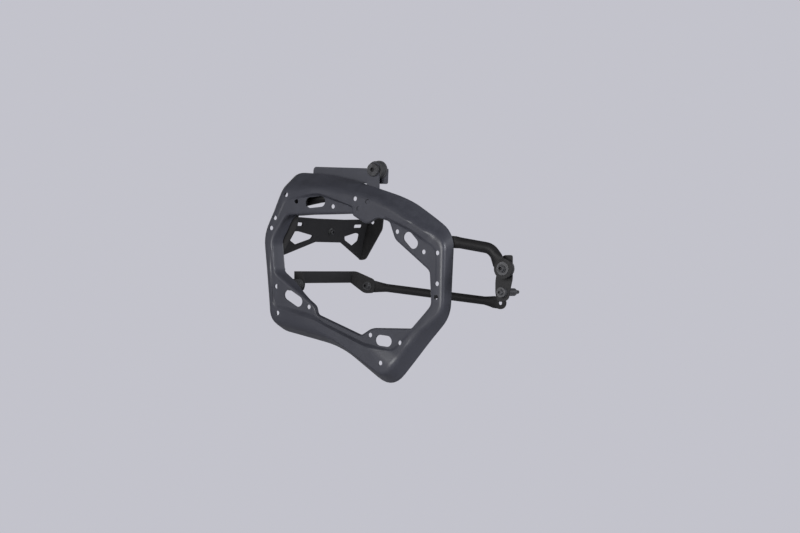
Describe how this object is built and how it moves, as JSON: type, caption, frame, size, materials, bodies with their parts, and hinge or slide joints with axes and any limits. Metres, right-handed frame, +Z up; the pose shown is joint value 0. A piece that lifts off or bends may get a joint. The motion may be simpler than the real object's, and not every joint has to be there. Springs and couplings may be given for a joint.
{
  "type": "pannier frame",
  "caption": "Pressed steel ring that carries a side case on a motorbike, with rear brace, cross bar, stays and bolted fixings",
  "frame": {"origin": "centre of the seat face of the front screw's sleeve, where the thread enters the motorbike", "axes": "+X forward along the motorbike, +Y from the ring towards the motorbike, +Z up"},
  "size_m": [0.5202, 0.341, 0.4089],
  "materials": {
    "ring_coat": "satin black powder coat",
    "dark_coat": "satin black powder coat",
    "black_zinc": "black zinc plating",
    "rubber": "matte black rubber"
  },
  "bodies": {
    "root": {"ring": "ring_coat", "rear_plate": "ring_coat", "front_lug": "ring_coat", "top_tab": "ring_coat", "rear_brace": "dark_coat", "brace_screws": "black_zinc", "brace_nuts": "black_zinc", "centre_screw": "black_zinc", "centre_washer": "black_zinc", "cross_bar": "dark_coat", "cross_bar_bush": "rubber", "cross_bar_screw": "black_zinc", "cross_bar_nut": "black_zinc", "lower_stay": "dark_coat", "lower_stay_screw": "black_zinc", "lower_stay_washer": "black_zinc", "lower_stay_nut": "black_zinc", "upper_link": "dark_coat", "link_screw": "black_zinc", "link_nut": "black_zinc", "top_bracket": "ring_coat", "top_screw": "black_zinc", "top_disc": "rubber", "top_washer": "black_zinc", "top_nut": "black_zinc", "front_stay": "dark_coat", "foot_screw": "black_zinc", "foot_nut": "black_zinc", "eye_screw": "black_zinc", "eye_washer": "black_zinc", "eye_bush": "rubber", "eye_nut": "black_zinc", "front_plate": "dark_coat", "front_screw": "black_zinc", "front_spacer": "black_zinc", "front_sleeve": "black_zinc"}
  },
  "joints": []
}
